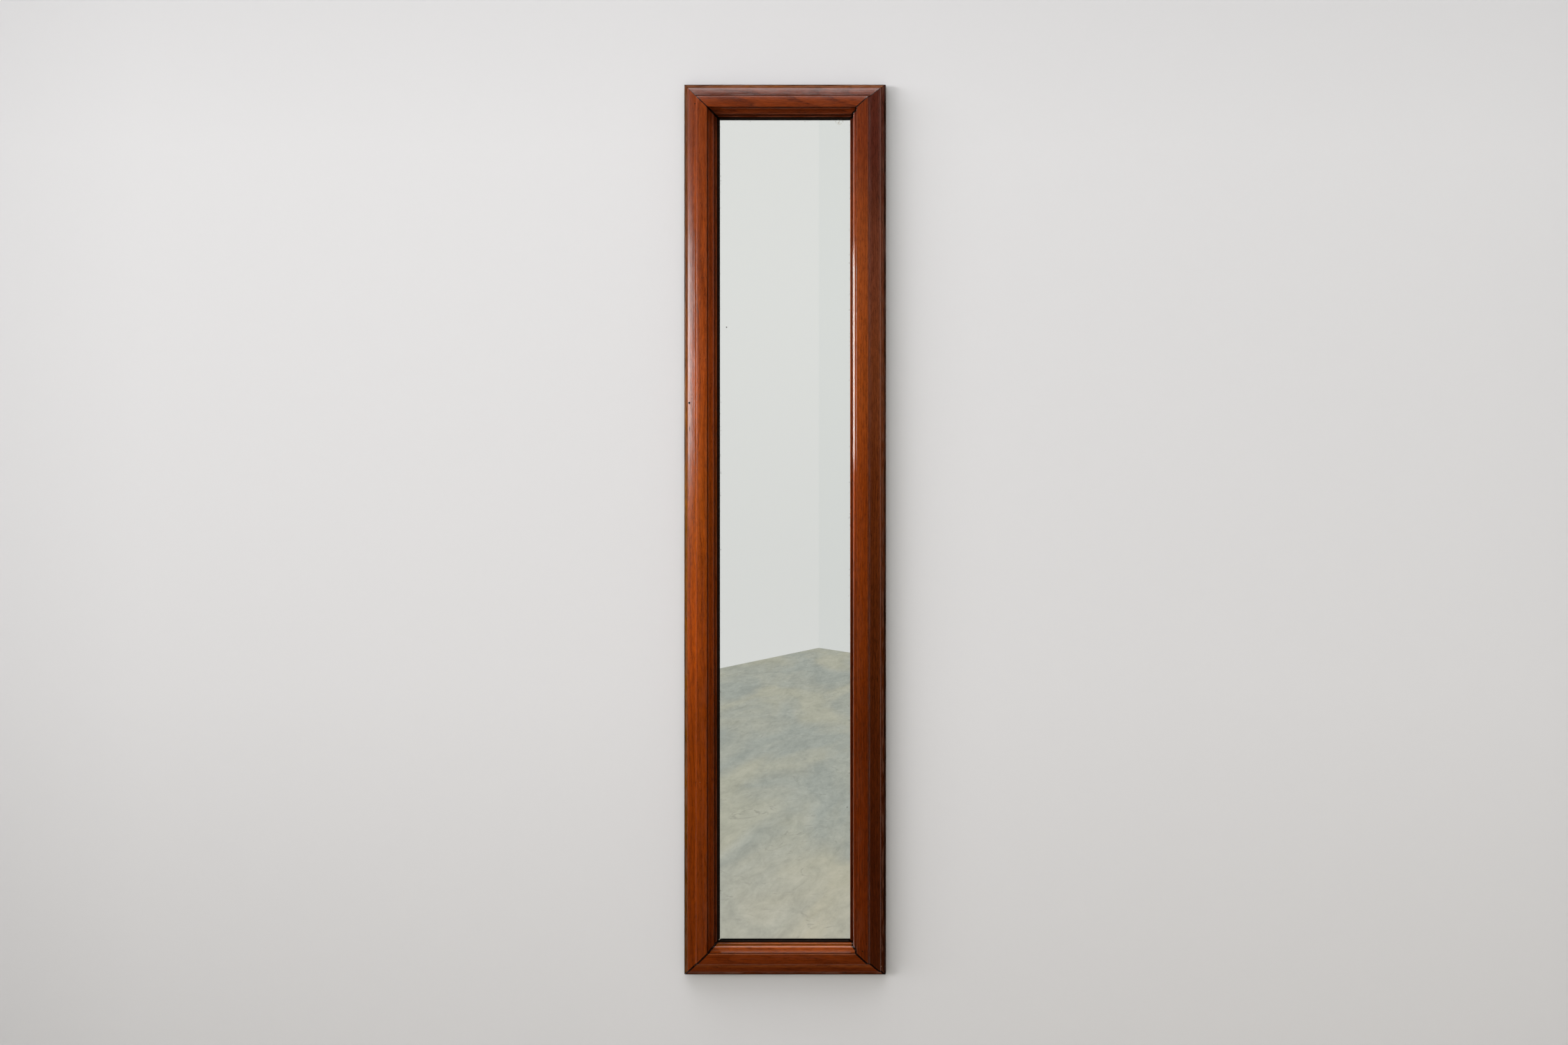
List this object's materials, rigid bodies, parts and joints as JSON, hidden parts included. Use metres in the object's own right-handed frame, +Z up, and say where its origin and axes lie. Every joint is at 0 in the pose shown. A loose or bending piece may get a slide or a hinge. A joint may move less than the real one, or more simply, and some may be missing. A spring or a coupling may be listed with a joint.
{
  "type": "wall mirror",
  "caption": "Tall narrow wall mirror: silvered glass held in a moulded, mitred oak frame by a pinned backing board, hung from keyhole plates let in flush behind.",
  "frame": {"origin": "on the plane of the frame's back, midway between the round entries of the two keyholes", "axes": "+X to the viewer's right along the width, +Y out of the back into the wall, +Z up along the height; the glass faces -Y"},
  "size_m": [0.339, 0.033, 1.5],
  "materials": {
    "stained_oak": "reddish-brown stained oak under satin lacquer, open pores",
    "beech_spline": "bare beech",
    "pin_steel": "dull bright-drawn steel",
    "mirror_glass": "polished float glass, silvered on its back, slightly aged at the edges",
    "backing_hardboard": "brown hardboard, smooth face out",
    "block_rubber": "matte",
    "packer_softwood": "bare softwood",
    "plate_steel": "zinc-plated, slightly dulled"
  },
  "bodies": {
    "root": {"left_stile": "stained_oak", "right_stile": "stained_oak", "top_rail": "stained_oak", "bottom_rail": "stained_oak", "top_left_spline": "beech_spline", "top_right_spline": "beech_spline", "bottom_left_spline": "beech_spline", "bottom_right_spline": "beech_spline", "corner_pins": "pin_steel", "mirror_glass": "mirror_glass", "backing_board": "backing_hardboard", "setting_blocks": "block_rubber", "side_packers": "packer_softwood", "top_packers": "packer_softwood", "backing_pins": "pin_steel", "left_keyhole_plate": "plate_steel", "right_keyhole_plate": "plate_steel", "plate_screws": "plate_steel"}
  },
  "joints": []
}
